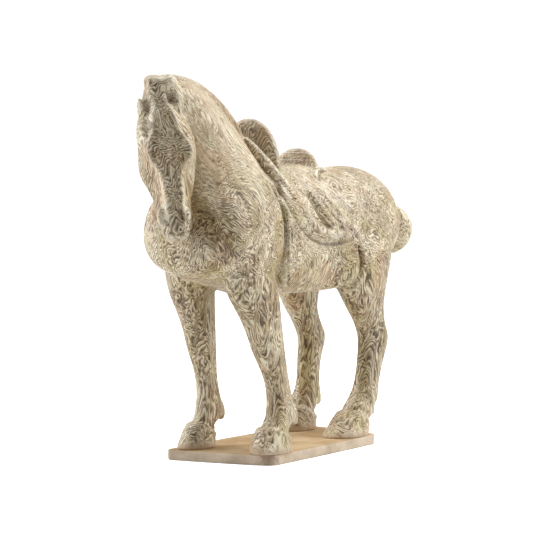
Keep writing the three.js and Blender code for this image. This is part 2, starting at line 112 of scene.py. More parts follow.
class Signal:
    """One socket of a shader. Arithmetic on it adds Math nodes to the same shader."""

    def __init__(self, tree, socket):
        self.tree = tree
        self.socket = socket

    def node(self, kind, settings, inputs, output=0):
        """A new node: its settings first, then the values or links of its sockets."""
        made = self.tree.nodes.new(kind)
        for name, value in settings.items():
            if name == "stops":
                while len(made.color_ramp.elements) < len(value):
                    made.color_ramp.elements.new(1)
                for element, (place, colour) in zip(made.color_ramp.elements, value):
                    element.position = place
                    element.color = colour
            else:
                setattr(made, name, value)
        for key, value in inputs.items():
            if isinstance(value, Signal):
                self.tree.links.new(value.socket, made.inputs[key])
            else:
                made.inputs[key].default_value = value
        return Signal(self.tree, made.outputs[output])

    def math(self, operation, *values):
        """A Math node on this socket and further values."""
        inputs = dict(enumerate((self, *values)))
        return self.node("ShaderNodeMath", {"operation": operation}, inputs)

    def __add__(self, other):
        return self.math("ADD", other)

    def __sub__(self, other):
        return self.math("SUBTRACT", other)

    def __rsub__(self, other):
        return (self * -1) + other

    def __mul__(self, other):
        return self.math("MULTIPLY", other)

    __radd__ = __add__


def vector(signal, operation, *values, output="Vector"):
    """A Vector Math node on some values."""
    inputs = dict(enumerate(values))
    return signal.node("ShaderNodeVectorMath", {"operation": operation}, inputs, output)


def paint(red, green, blue):
    """A colour given as it looks, from 0 to 255, made linear for a shader."""
    return tuple(((c / 255 + 0.055) / 1.055) ** 2.4 for c in (red, green, blue)) + (1.0,)


# The white surround: dimmer behind the viewer and low down, so that what faces the viewer and the
# legs are shaded.
SURROUND_DIM = 0.04
SURROUND_BRIGHT = 0.72
SURROUND_LOW = 0.25
world = bpy.data.worlds.new("surround")
bpy.context.scene.world = world
world.use_nodes = True
sky = Signal(world.node_tree, None)
heading = sky.node("ShaderNodeTexCoord", {}, {}, "Generated")
facing = vector(sky, "DOT_PRODUCT", heading, tuple(TO_VIEWER), output="Value")
glow = sky.node("ShaderNodeMapRange", {}, {
    "Value": facing, "From Min": -0.3, "From Max": 0.6,
    "To Min": SURROUND_BRIGHT, "To Max": SURROUND_DIM})
seen = sky.node("ShaderNodeLightPath", {}, {}, "Is Camera Ray")
upward = sky.node("ShaderNodeSeparateXYZ", {}, {0: heading}, "Z")
rise = sky.node("ShaderNodeMapRange", {}, {
    "Value": upward, "From Min": -0.2, "From Max": 0.6, "To Min": SURROUND_LOW, "To Max": 1.0})
glow = glow * rise
surround = world.node_tree.nodes["Background"]
world.node_tree.links.new((glow * (1 - seen) + seen * 1.05).socket, surround.inputs["Strength"])
surround.inputs["Color"].default_value = (1, 1, 1, 1)

# Ground
# A plain white sheet that the figure's slab stands on.
FLOOR_REACH = 6.0


def finish(name):
    """A new material: its first signal, for making nodes, and its surface shader."""
    material = bpy.data.materials.new(name)
    material.use_nodes = True
    shader = material.node_tree.nodes["Principled BSDF"]
    return material, Signal(material.node_tree, None), shader


def blend(share, under, over, way="MIX"):
    """Colour that goes from one to another as a share goes from 0 to 1."""
    settings = {"data_type": "RGBA", "blend_type": way}
    inputs = {0: share, 6: under, 7: over}
    return share.node("ShaderNodeMix", settings, inputs, 2)


floor_mesh = bpy.data.meshes.new("floor")
floor_corners = [(-1, -1), (1, -1), (1, 1), (-1, 1)]
floor_mesh.from_pydata(
    [(x * FLOOR_REACH, y * FLOOR_REACH, float(cad_low.z)) for x, y in floor_corners], [],
    [(0, 1, 2, 3)])
floor = bpy.data.objects.new("floor", floor_mesh)
bpy.context.scene.collection.objects.link(floor)
floor_paint, sheet, ground = finish("white_ground")
ground.inputs["Base Color"].default_value = (0.85, 0.85, 0.85, 1)
ground.inputs["Roughness"].default_value = 1
ground.inputs["Specular IOR Level"].default_value = 0
ground.inputs["Emission Strength"].default_value = 1
sheet_seen = sheet.node("ShaderNodeLightPath", {}, {}, "Is Camera Ray")
sheet_glow = blend(sheet_seen, (0.05, 0.05, 0.05, 1), (0.8, 0.8, 0.8, 1))
floor_paint.node_tree.links.new(sheet_glow.socket, ground.inputs["Emission Color"])
floor_mesh.materials.append(floor_paint)

# Base slab
# A thin slab of plain unglazed clay, cut by hand with uneven corners and slightly bowed sides.
# It is fired hard and ochre, its sides painted greyer and paler than its top where they face the side
# lights, as painted light, and its front corner is worn.
SLAB_THICK = 11
SLAB_CORNERS = [(-57, -123, 8), (61, -100, 15), (53, 105, 7), (-58, 127, 8)]
SLAB_BOW = 1.5
SLAB_EDGE = 1.3
# Unevenness of its sides and its top: the amount, size and seed of each ripple. The ripples stay
# inside the cut slab by the last numbers.
SIDE_RIPPLES, SIDE_IN = [(0.35, 22, 3), (0.18, 6, 4)], 0.25
TOP_RIPPLES, TOP_IN = [(0.2, 30, 5), (0.08, 7, 6)], 0.3
STAINED_CORNER = np.array([57.0, -99.0, 8.0])


def bend(start, pull, end, count):
    """Points from start towards end along a curve pulled towards a third point."""
    t = np.linspace(0, 1, count, endpoint=False)[:, None]
    return (1 - t) ** 2 * start + 2 * t * (1 - t) * pull + t ** 2 * end


def slab_outline():
    """The slab's edge: a bend round each corner, then a slightly bowed side."""
    points = []
    for k, (x, y, radius) in enumerate(SLAB_CORNERS):
        corner = np.array([x, y], float)
        before = np.array(SLAB_CORNERS[k - 1][:2], float)
        after = np.array(SLAB_CORNERS[(k + 1) % 4][:2], float)
        after_radius = SLAB_CORNERS[(k + 1) % 4][2]
        back = (before - corner) / np.linalg.norm(before - corner)
        ahead = (after - corner) / np.linalg.norm(after - corner)
        outwards = np.array([ahead[1], -ahead[0]])
        turned = corner + radius * ahead
        points.append(bend(corner + radius * back, corner, turned, 14))
        bulge = (corner + after) / 2 + 2 * SLAB_BOW * outwards
        points.append(bend(turned, bulge, after - after_radius * ahead, 60))
    return np.concatenate(points)


def ripple(points, size, seed, waves=14):
    """Smooth unevenness from -1 to 1: a sum of sine waves of about one size in all directions."""
    chance = np.random.default_rng(seed)
    ways = chance.normal(size=(waves, points.shape[1]))
    ways *= (2 * np.pi / size * chance.uniform(0.7, 1.4, waves) / np.linalg.norm(ways, axis=1))[:, None]
    return np.sin(points @ ways.T + chance.uniform(0, 2 * np.pi, waves)).sum(1) / waves ** 0.5 / 1.5


def loft(rings):
    """Closed skin over a stack of rings with a fan at each end, as points and triangles."""
    count, sides = rings.shape[:2]
    ring = np.arange(sides)
    after = (ring + 1) % sides
    low = (np.arange(count - 1) * sides)[:, None]
    a, b = low + ring, low + after
    walls = np.stack([a, b, b + sides, a, b + sides, a + sides], -1).reshape(-1, 3)
    points = np.concatenate([rings.reshape(-1, 3), rings[[0, -1]].mean(1)])
    first = np.stack([np.full(sides, count * sides), after, ring], -1)
    top = (count - 1) * sides
    last = np.stack([np.full(sides, count * sides + 1), top + ring, top + after], -1)
    faces = np.concatenate([walls, first, last])
    volume = np.einsum("ij,ij->i", points[faces[:, 0]],
                       np.cross(points[faces[:, 1]], points[faces[:, 2]])).sum()
    return points, faces if volume > 0 else faces[:, ::-1]


def mesh_from(name, points, faces):
    """Smooth-shaded mesh from points in the figure's own millimetres and faces of one kind."""
    mesh = bpy.data.meshes.new(name)
    mesh.vertices.add(len(points))
    mesh.vertices.foreach_set("co", np.ascontiguousarray(points, np.float32).ravel())
    corners = faces.shape[1]
    mesh.loops.add(faces.size)
    mesh.loops.foreach_set("vertex_index", np.ascontiguousarray(faces, np.int32).ravel())
    mesh.polygons.add(len(faces))
    mesh.polygons.foreach_set("loop_start", np.arange(0, faces.size, corners, dtype=np.int32))
    mesh.update(calc_edges=True)
    mesh.validate()
    mesh.polygons.foreach_set("use_smooth", np.ones(len(mesh.polygons), bool))
    return mesh


def slab_skin():
    """Slab as rings from the middle of its underside, round its edge, to the middle of its top."""
    outline = slab_outline()
    middle = outline.mean(0)
    inwards = (middle - outline) / np.linalg.norm(middle - outline, axis=1)[:, None]
    soft = SLAB_EDGE * np.array([1, 0.3, 0])
    levels = [(s, 0.0, 0.0) for s in (0.03, 0.3, 0.6, 0.85, 0.97)]
    levels += [(1.0, inset, z) for inset, z in zip(soft, soft[::-1] * 0.9)]
    levels += [(1.0, 0.0, z) for z in np.linspace(2.5, SLAB_THICK - 2.5, 4)]
    levels += [(1.0, inset, SLAB_THICK - z) for inset, z in zip(soft[::-1], soft * 0.9)]
    levels += [(s, 0.0, SLAB_THICK) for s in np.linspace(0.985, 0.03, 40)]
    rings = np.array([np.column_stack([
        middle + (outline - middle) * share + inwards * inset,
        np.full(len(outline), z)]) for share, inset, z in levels])
    points, faces = loft(rings)
    out = np.column_stack([points[:, :2] - middle, np.zeros(len(points))])
    reach = np.linalg.norm(out, axis=1)
    out /= np.maximum(reach, 1)[:, None]
    rough = sum(amount * ripple(points, *form) for amount, *form in SIDE_RIPPLES)
    edge = np.clip((reach - 40) / 10, 0, 1)
    points += out * (rough * edge - SIDE_IN)[:, None]
    top = points[:, 2] > SLAB_THICK - 0.2
    rough = sum(amount * ripple(points, *form) for amount, *form in TOP_RIPPLES)
    points[top, 2] += (rough - TOP_IN)[top]
    points[:, 2] = np.maximum(points[:, 2], 0)
    return points, faces


# Depth of the clay's grain, in metres.
GRAIN_DEPTH = 0.0006


def noise(signal, where, size, detail=2.0, rough=0.5, output="Fac"):
    """Cloudy noise whose blots are about one size across, in the unit of its coordinates."""
    return signal.node("ShaderNodeTexNoise", {}, {
        "Vector": where, "Scale": 1 / size, "Detail": detail, "Roughness": rough}, output)


def between(signal, low, high):
    """Rises smoothly from 0 to 1 as a signal goes from low to high."""
    return signal.node("ShaderNodeMapRange", {"interpolation_type": "SMOOTHSTEP"}, {
        "Value": signal, "From Min": low, "From Max": high})


def plain_clay():
    """Ochre clay: cloudy stains, fine grit, sides painted greyer and paler than the top as painted
    light, and a reddish worn front corner.
    """
    material, new, shader = finish("plain_clay")
    place = new.node("ShaderNodeTexCoord", {}, {}, "Object")
    facing = new.node("ShaderNodeNewGeometry", {}, {}, "Normal")
    upward = new.node("ShaderNodeSeparateXYZ", {}, {0: facing}, "Z")
    clouds = noise(new, place, 0.03, 4)
    grit = noise(new, place, 0.0012, 3, 0.7)
    specks = noise(new, place, 0.004, 2)
    top = between(clouds, 0.35, 0.68)
    top = blend(top, paint(186, 155, 112), paint(210, 184, 145))
    # Painted light: the sides, by the way they face, take a greyer and paler colour than the top.
    side = blend(between(clouds, 0.3, 0.7), paint(200, 181, 156), paint(234, 216, 193))
    colour = blend(between(upward, 0.4, 0.8), side, top)
    colour = blend(between(grit, 0.5, 0.75) * 0.3, colour, paint(120, 98, 72))
    colour = blend(between(specks, 0.68, 0.76) * 0.6, colour, paint(140, 96, 62))
    corner = tuple(ORIGIN + MM * STAINED_CORNER)
    away = vector(new, "DISTANCE", place, corner, output="Value")
    stain = between(away + specks * 0.02, 0.026, 0.012)
    colour = blend(stain * 0.55, colour, paint(120, 78, 52))
    material.node_tree.links.new(colour.socket, shader.inputs["Base Color"])
    shader.inputs["Roughness"].default_value = 0.82
    height = grit * 0.5 + specks * 0.5
    bump = new.node("ShaderNodeBump", {}, {
        "Strength": 0.5, "Distance": GRAIN_DEPTH, "Height": height}, "Normal")
    material.node_tree.links.new(bump.socket, shader.inputs["Normal"])
    return material


def piece(name, points, faces, material, node):
    """A finished piece in the frame: its place in metres in its mesh, standing for a node."""
    mesh = mesh_from(name, ORIGIN + MM * points, faces)
    mesh.materials.append(material)
    made = bpy.data.objects.new(name, mesh)
    bpy.context.scene.collection.objects.link(made)
    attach(made, "root")
    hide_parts(node)
    return made


slab_points, slab_faces = slab_skin()
piece("clay_slab", slab_points, slab_faces, plain_clay(), "base_slab")

# Body of the horse
# Trunk, neck, head, legs and bound tail, thin-walled marbled clay pressed in a mould and joined
# wet. Each part is a stack of ovals; the stack is skinned and relaxed so that joins run soft.
# Trunk columns: place along Y, height of the widest line, half width, reach up and down, squareness.
TRUNK = np.array([
    [-166, 231, 49, 54, 38, 2.1],
    [-148, 232, 57, 68, 44, 2.1],
    [-115, 234, 59, 76, 55, 2.1],
    [-70, 235, 54, 71, 67, 2.2],
    [-20, 235, 51, 62, 69, 2.2],
    [35, 235, 51, 57, 71, 2.2],
    [80, 235, 51, 58, 70, 2.2],
    [120, 235, 52, 60, 59, 2.2],
    [150, 234, 50, 52, 52, 2.2],
    [168, 231, 41, 39, 40, 2.1],
])
# Path columns: step, x, y, z, half width, reach to the crest, reach to the throat, squareness.
NECK = np.array([
    [0, 0, -104, 238, 56, 60, 72, 2.3],
    [1, 0, -116, 272, 54, 58, 64, 2.2],
    [2, 0, -130, 306, 40, 48, 50, 2.1],
    [3, 0, -149, 336, 32, 38, 40, 2],
    [4, 0, -169, 356, 26, 29, 32, 2],
    [5, 0, -188, 368, 22, 21, 26, 2],
    [6, 2, -200, 371, 17, 17, 18, 2],
])
TAIL = np.array([
    [0, 6, 160, 247, 12, 11, 11, 2],
    [1, 13, 180, 243, 11, 10, 11, 2],
    [2, 20, 195, 237, 10, 9.5, 11, 2],
    [3, 24, 203, 226, 9.5, 9, 11, 2],
    [4, 23, 197, 212, 9, 8.5, 9, 2],
    [5, 18, 187, 204, 8, 7, 7, 2],
])
# Leg size columns: minus height, half width, reach to the front and to the back.
FORELEG_SIZES = np.array([
    [-262, 10, 22, 22], [-232, 19, 32, 32], [-200, 19.5, 37, 34], [-172, 17.5, 34, 34],
    [-148, 15.5, 27, 26], [-130, 14.5, 22, 22], [-115, 14.5, 19.5, 18], [-98, 12, 16.5, 16.5],
    [-82, 10.8, 14.2, 14.2], [-64, 11.2, 15.5, 15.5], [-50, 13, 18, 19.5], [-42, 13, 17.5, 18.5],
    [-35, 14, 21, 17], [-29, 16.5, 22, 19.5], [-22, 17, 24, 21], [-14, 18.5, 28, 22],
    [-SLAB_THICK, 18, 27.5, 21.5],
])
HINDLEG_SIZES = np.array([
    [-268, 10, 26, 24], [-235, 20, 40, 37], [-205, 24, 45, 40], [-175, 20, 35, 37],
    [-150, 15.5, 25, 27], [-130, 12.5, 19.5, 21], [-112, 12, 18.5, 22], [-98, 11.5, 17.5, 18.5],
    [-80, 10.5, 16, 16], [-60, 10.5, 16, 16.5], [-48, 12.5, 19, 19.5], [-40, 13.5, 22, 18],
    [-34, 15.5, 25, 20], [-28, 17, 25.5, 23.5], [-22, 18, 25.5, 25], [-14, 20, 29.5, 26],
    [-SLAB_THICK, 19.5, 29, 25.5],
])
# Each leg: its stoutness, its sizes, and the line it follows by minus height, x and y.
LEGS = {
    "fore_left": (1.0, FORELEG_SIZES, np.array([
        [-262, 20, -112], [-232, 31, -112], [-200, 36, -110], [-172, 39, -102], [-148, 39.5, -90],
        [-115, 40, -77.6], [-82, 41, -64.5], [-50, 42.5, -58.5], [-42, 43, -63],
        [-34, 43.5, -73.5], [-SLAB_THICK, 44, -77]])),
    "fore_right": (0.9, FORELEG_SIZES, np.array([
        [-262, -20, -112], [-232, -31, -112], [-200, -35, -110], [-172, -38, -102],
        [-150, -38, -94.5], [-110, -39, -83], [-75, -39, -75], [-50, -39.5, -71],
        [-42, -39.5, -73.5], [-32, -40, -84.5], [-SLAB_THICK, -40, -91]])),
    "hind_left": (1.04, HINDLEG_SIZES, np.array([
        [-268, 17, 118], [-235, 27, 114], [-205, 34, 104], [-175, 40, 93], [-150, 41, 98],
        [-130, 40, 109.5], [-111, 39, 118], [-85, 37.6, 115], [-60, 36.5, 108.5], [-48, 36, 104],
        [-38, 35.5, 96], [-28, 35, 84], [-SLAB_THICK, 34, 74]])),
    "hind_right": (0.96, HINDLEG_SIZES, np.array([
        [-268, -17, 118], [-235, -27, 114], [-205, -34, 104], [-175, -39, 92], [-145, -40, 96.5],
        [-130, -40, 105.5], [-108, -40, 117.5], [-85, -40, 114], [-60, -40, 111],
        [-48, -40, 109], [-38, -40, 102], [-30, -40, 94.5], [-SLAB_THICK, -40, 88.5]])),
}
# Each leg runs on past the top of the slab by this much, and the whole skin is cut flat there.
SOLE_SINK = 3
BREAST, BREAST_REACH = (0, -146, 250), (50, 34, 46)
# How far the rounded tips of each form reach past its first and its last row.
TRUNK_TIPS, NECK_TIPS, TAIL_TIPS, HEAD_TIPS, MANE_TIPS = (20, 15), (34, 0), (0, 5), (8, 11), (0, 6)
X, Y, Z = np.eye(3)


def along(rows, t):
    """Every column of a table at places t, on a smooth curve through its rows.

    The first column is the place; between two rows it is a cubic whose slopes are the slopes
    from the row before to the row after.
    """
    t = np.atleast_1d(np.asarray(t, float))
    i = np.clip(np.searchsorted(rows[:, 0], t, side="left") - 1, 0, len(rows) - 2)
    before, start = rows[np.maximum(i - 1, 0)], rows[i]
    end, after = rows[i + 1], rows[np.minimum(i + 2, len(rows) - 1)]
    span = (end[:, 0] - start[:, 0])[:, None]
    u = (t[:, None] - start[:, :1]) / span
    slope_in = (end - before) / (end[:, :1] - before[:, :1]) * span
    slope_out = (after - start) / (after[:, :1] - start[:, :1]) * span
    return (start * (2 * u ** 3 - 3 * u ** 2 + 1) + slope_in * (u ** 3 - 2 * u ** 2 + u)
            + end * (3 * u ** 2 - 2 * u ** 3) + slope_out * (u ** 3 - u ** 2))


def bent(value, power):
    """A sine or cosine made squarer or rounder: its size raised to 2 / power, sign kept."""
    return np.sign(value) * np.abs(value) ** (2 / power)


def ovals(centre, across, deep, wide, up, down, power=2.0, sides=96):
    """Stack of ovals, one a row: half width `wide`, reaching `up` one way and `down` the other."""
    angle = np.linspace(0, 2 * np.pi, sides, endpoint=False)[None, :]
    wide, up, down, power = (
        np.broadcast_to(v, len(centre))[:, None] for v in (wide, up, down, power))
    reach = bent(np.sin(angle), power)
    x = wide * bent(np.cos(angle), power)
    y = reach * np.where(reach > 0, up, down)
    across, deep = np.broadcast_to(across, centre.shape), np.broadcast_to(deep, centre.shape)
    return centre[:, None] + x[..., None] * across[:, None] + y[..., None] * deep[:, None]


def stations(first, last, count, tips=(0, 0), steps=10):
    """Places of the rings of a form with rounded tips, their scale and their push outwards.

    At a tip the scale is the cosine of a quarter circle and the push its sine times the length.
    """
    angle = (np.arange(steps) + 1) / (steps + 0.35) * np.pi / 2
    place = np.concatenate([np.full(steps, first), np.linspace(first, last, count),
                            np.full(steps, last)])
    scale = np.concatenate([np.cos(angle)[::-1], np.ones(count), np.cos(angle)])
    push = np.concatenate([-tips[0] * np.sin(angle)[::-1], np.zeros(count),
                           tips[1] * np.sin(angle)])
    return place, scale, push


def trunk():
    """Barrel of the body: upright ovals from the breast back to the rump."""
    t, scale, push = stations(TRUNK[0, 0], TRUNK[-1, 0], 120, TRUNK_TIPS)
    _, mid, wide, up, down, power = along(TRUNK, t).T
    centre = np.column_stack([0 * t, t + push, mid])
    return loft(ovals(centre, X, Z, wide * scale, up * scale, down * scale, power, sides=160))


def swept(rows, count, tips, grow=0.0):
    """Form carried along a path, each oval square to it."""
    t, scale, push = stations(rows[0, 0], rows[-1, 0], count, tips)
    ahead = along(rows, np.minimum(t + 0.02, rows[-1, 0]))[:, 1:4]
    behind = along(rows, np.maximum(t - 0.02, rows[0, 0]))[:, 1:4]
    heading = (ahead - behind) / np.linalg.norm(ahead - behind, axis=1)[:, None]
    across = X - heading * heading[:, :1]
    across /= np.linalg.norm(across, axis=1)[:, None]
    row = along(rows, t)
    wide, up, down = ((row[:, k] + grow) * scale for k in (4, 5, 6))
    centre = row[:, 1:4] + heading * push[:, None]
    return loft(ovals(centre, across, np.cross(heading, across), wide, up, down, row[:, 7]))


def leg(stout, sizes, line, top=None, count=150, grow=0.0):
    """Leg: level ovals from inside the trunk, or from a height `top`, down past the flat sole."""
    start = sizes[0, 0] if top is None else -top
    t = np.linspace(start, -SLAB_THICK, count)
    _, x, y = along(line, t).T
    _, wide, front, back = along(sizes, t).T
    centre = np.column_stack([x, y, -t])
    centre[-1, 2] = SLAB_THICK - SOLE_SINK
    wide, front, back = (v * stout + grow for v in (wide, front, back))
    return loft(ovals(centre, X, -Y, wide, front, back, 2.2))


# The head is turned to the horse's left and tipped a little to that side. Head columns: minus
# height, shift to the left, half width of the flat front of the face and how far forward it lies,
# half width of the cheeks and how far forward they are widest, reach to the throat.
HEAD_CENTRE = np.array([5.5, -203.5, 320])
HEAD_TURN = math.radians(44)
HEAD_TIP = 0.125
FACE_EDGE = 1.3
FACE = np.array([math.sin(HEAD_TURN), -math.cos(HEAD_TURN), 0])
CHEEK = np.array([math.cos(HEAD_TURN), math.sin(HEAD_TURN), 0])
HEAD = np.array([
    [-382, -1, 5, 9, 11, -6, 22],
    [-372, -1, 5.5, 14, 14.5, -4, 27],
    [-362, 0, 7.5, 18.5, 18.5, -2, 29],
    [-353, 0.5, 11, 21.5, 22.5, -2, 29],
    [-340, 0.5, 14, 24.5, 26.5, -1, 29],
    [-328, 1, 20.5, 26, 28, 0, 29],
    [-319, 1, 22.5, 26.3, 28.3, 0, 30],
    [-311, 0.3, 19.5, 26, 28.3, -2, 30],
    [-301, -0.5, 12.5, 25.3, 27.8, -5, 29],
    [-291, -0.5, 9.5, 24.4, 26.3, -6, 27],
    [-281, 0.3, 8.5, 23.5, 22.5, -5, 23],
    [-270, 0, 8, 22.8, 18.5, -1, 18],
    [-258, -0.5, 8, 22, 17.5, 4, 15],
    [-248, -1, 8.5, 21, 16.5, 6, 14],
    [-240, -1, 8, 19.5, 13.5, 7, 12],
])


def on_head(left, out, z):
    """Places on the head: to its left, forward out of its face, and their height."""
    left, out, z = (np.atleast_1d(np.asarray(v, float))[:, None] for v in (left, out, z))
    middle = HEAD_CENTRE * [1, 1, 0] + z * Z
    return middle + CHEEK * (left + HEAD_TIP * (HEAD_CENTRE[2] - z)) + FACE * out


def from_head(points):
    """The other way round: how far places lie to the left on the head and forward of it."""
    off = points - HEAD_CENTRE
    return off @ CHEEK - HEAD_TIP * (HEAD_CENTRE[2] - points[:, 2]), off @ FACE


def curved(points, count):
    """Smooth line through points, as many places along it."""
    points = np.asarray(points, float)
    rows = np.column_stack([np.arange(len(points)), points])
    return along(rows, np.linspace(0, len(points) - 1, count))[:, 1:]


def skull(grow=0.0):
    """Skull and muzzle, a stack of level rings from the poll down to the chin.

    Each ring runs straight across the flat front, turns a firm edge, slopes back to the cheek and
    curves round to the throat, and the same again on the other side.
    """
    t, scale, push = stations(HEAD[0, 0], HEAD[-1, 0], 110, HEAD_TIPS)
    rings = []
    for row, size, down in zip(along(HEAD, t), scale, push):
        minus_z, left, front, ahead, cheek, level, back = row
        front, ahead, cheek, back = (v + grow for v in (front, ahead, cheek, back))
        side = np.array([
            [0, ahead], [front * 0.55, ahead], [front - FACE_EDGE, ahead],
            [front, ahead - FACE_EDGE], [(front + cheek) / 2, (ahead + level) / 2],
            [cheek, level], [cheek * 0.75, -0.65 * back], [0, -back]]) * size
        half = curved(side, 50)
        ring = np.concatenate([half, half[-2:0:-1] * [-1, 1]])
        rings.append(on_head(left + ring[:, 0], ring[:, 1], -minus_z - down))
    return loft(np.array(rings))


def bulge(centre, reach, lean=0.0, across=X, deep=Y, count=40, sides=64):
    """Egg shape: its middle, its reach across, deep and high, and how far its top leans back."""
    angle = np.linspace(0.02, np.pi - 0.02, count)
    size, high = np.sin(angle), reach[2] * np.cos(angle)
    middle = np.asarray(centre, float) + high[:, None] * (Z + lean * Y)
    wide, thick = reach[0] * size, reach[1] * size
    return loft(ovals(middle, across, deep, wide, thick, thick, sides=sides))


def swelling(left, out, z, *reach):
    """Egg shape on the head."""
    return bulge(on_head(left, out, z), reach, across=CHEEK, deep=FACE, count=30, sides=48)


def altered(mesh, steps):
    """Mesh made out of another by modifiers, each a kind with its settings."""
    rough = bpy.data.objects.new("rough", mesh)
    bpy.context.scene.collection.objects.link(rough)
    for kind, settings in steps.items():
        step = rough.modifiers.new(kind, kind)
        for name, value in settings.items():
            setattr(step, name, value)
    graph = bpy.context.evaluated_depsgraph_get()
    made = bpy.data.meshes.new_from_object(rough.evaluated_get(graph))
    bpy.data.objects.remove(rough)
    bpy.data.meshes.remove(mesh)
    return made


def taken(mesh, corners):
    """Points and faces, all with as many corners, of a mesh that is then deleted."""
    points = np.empty(len(mesh.vertices) * 3, np.float32)
    mesh.vertices.foreach_get("co", points)
    faces = np.empty(len(mesh.loops), np.int32)
    mesh.loops.foreach_get("vertex_index", faces)
    bpy.data.meshes.remove(mesh)
    return points.reshape(-1, 3).astype(float), faces.reshape(-1, corners)


def fused(parts, voxel, passes):
    """One skin over overlapping closed parts, relaxed by a number of smoothing passes."""
    starts = np.cumsum([0] + [len(points) for points, _ in parts[:-1]])
    triangles = [faces if faces.shape[1] == 3 else
                 np.concatenate([faces[:, [0, 1, 2]], faces[:, [0, 2, 3]]]) for _, faces in parts]
    mesh = mesh_from("rough", np.concatenate([points for points, _ in parts]),
                     np.concatenate([f + start for f, start in zip(triangles, starts)]))
    return taken(altered(mesh, {"REMESH": {"mode": "VOXEL", "voxel_size": voxel},
                                "SMOOTH": {"factor": 0.5, "iterations": passes}}), 4)


# Relaxing thins what is slender, so tail and legs start a little stouter. The skull starts a
# little leaner, as a crisp one goes over it.
SOFT_GROW, SKULL_GROW = 0.6, -0.8
BODY_VOXEL, BODY_PASSES = 2.0, 18
flesh = [trunk(), swept(NECK, 90, NECK_TIPS), swept(TAIL, 70, TAIL_TIPS, SOFT_GROW),
         skull(SKULL_GROW), bulge(BREAST, BREAST_REACH)]
flesh += [leg(*form, grow=SOFT_GROW) for form in LEGS.values()]
body = fused(flesh, BODY_VOXEL, BODY_PASSES)

# Crisp forms of the head and feet
# Clipped mane band, squared forelock, flat face with its firm edges, ears, eyes, nostril wings,
# fetlock spurs and hooves, modelled over the soft body before firing.
MANE = np.array([
    [0, 0, -62, 298, 9, 6, 14, 3.4],
    [1, 0, -84, 329, 10, 9, 13, 3.4],
    [2, 0, -103, 349, 10.5, 8, 12, 3.4],
    [3, 0, -128, 366, 10.5, 8, 12, 3.4],
    [4, 0, -156, 379, 10, 8, 12, 3.4],
    [5, -1, -184, 386, 9.5, 7, 12, 3.4],
    [6, -2, -202, 385, 9, 7, 12, 3],
])
FORELOCK_TOP, FORELOCK_FOOT, FORELOCK_TIPS = 388, 369, (5, 1.5)
FORELOCK_PLACE, FORELOCK_REACH = (-2.5, -1), (10, 16, 14)
# Ear columns: step, to the side, forward, height, half width, reach to the front and back. The
# two ears stand at different heights.
EAR = np.array([
    [0, 13, 2, -14, 7, 8, 10],
    [1, 14.5, 2, -5, 8, 10, 10],
    [2, 16, 2, 4, 7.2, 9, 9],
    [3, 20, 2, 13, 1, 1.5, 2.5],
])
EAR_HEIGHTS = {-1: 357, 1: 369}
# Eyes, and the clay between the left ear and the forelock: place to the left, forward and up, and
# reach those ways.
SWELLINGS = [(-21, 8, 340, 6.5, 10, 6), (19, 6, 340, 6.5, 9, 6), (13.5, 0, 377, 9, 11, 13),
             (11, 5, 385, 8, 11, 9)]
# Nostril wings: the muzzle's middle, their distance from it, and the rest as above.
MUZZLE_LEFT, WING = -1.5, (12, 13, 255, 5, 7, 9.5)
# Height from which the crisp hooves are modelled over the soft legs.
COLLAR = 34
# Middle of each leg's fetlock spur, along Y and in height.
SPURS = {"fore_left": (-41, 44), "fore_right": (-55, 45), "hind_left": (115.5, 37),
         "hind_right": (125, 43)}
SPUR_REACH, SPUR_RISE, SPUR_LEAN = (6.5, 8, 14), 2, -0.25


def ear(side):
    """Short leaf that stands up beside the poll."""
    _, left, out, up_from, wide, up, down = along(EAR, np.linspace(0, 3, 40)).T
    centre = on_head(side * left, out, EAR_HEIGHTS[side] + up_from)
    return loft(ovals(centre, CHEEK, FACE, wide, up, down, sides=40))


def forelock():
    """Squared end of the mane over the poll."""
    t, scale, push = stations(-FORELOCK_TOP, -FORELOCK_FOOT, 12, FORELOCK_TIPS, 6)
    wide, ahead, behind = (reach * scale for reach in FORELOCK_REACH)
    centre = on_head(*FORELOCK_PLACE, -t - push)
    return loft(ovals(centre, CHEEK, FACE, wide, ahead, behind, 4, sides=64))


def on_leg(name, z):
    """Middle of a leg at a height."""
    _, x, y = along(LEGS[name][2], -z)[0]
    return np.array([x, y, z])


crisp = [swept(MANE, 70, MANE_TIPS), forelock(), skull()]
crisp += [swelling(*form) for form in SWELLINGS]
for side in (-1, 1):
    crisp.append(ear(side))
    crisp.append(swelling(side * WING[0] + MUZZLE_LEFT, *WING[1:]))
crisp += [leg(*form, top=COLLAR, count=40) for form in LEGS.values()]
for name, (y, z) in SPURS.items():
    crisp.append(bulge([on_leg(name, z)[0], y, z + SPUR_RISE], SPUR_REACH, SPUR_LEAN))

# Saddle and its cloth
# A saddle with two upright arches and a seat, covered by a cloth that is gathered on each side
# into folds running back to a knot, over a broad flap with a soft edge.
POMMEL = dict(y=-50, z=292, rise=56, half_width=35, thick=10, lean=-0.08)
CANTLE = dict(y=28, z=280, rise=36, half_width=29.5, thick=8, lean=0.12)
CLOTH_THICK = 4
FLAP_MIDDLE_Y, FLAP_HALF_LENGTH = -1, 66
FLAP_MIDDLE_TURN, FLAP_HALF_TURN = math.radians(80), math.radians(71)
FLAP_POWER, FLAP_LOBE_POWER, FLAP_HANG = 4, 2.4, 3.4
FLAP_CUT, FLAP_CUT_TURNS = 0.82, (math.radians(52), math.radians(90))
FLAP_FLARE, FLARE_Y = 10, (20, 62)
FLARE_TURN = (math.radians(85), math.radians(118))
SEAT_MIDDLE, SEAT_HALF_LENGTH, SEAT_REACH, SEAT_DIP = (0, -11, 288), 42, (30, 9, 14), 0.4
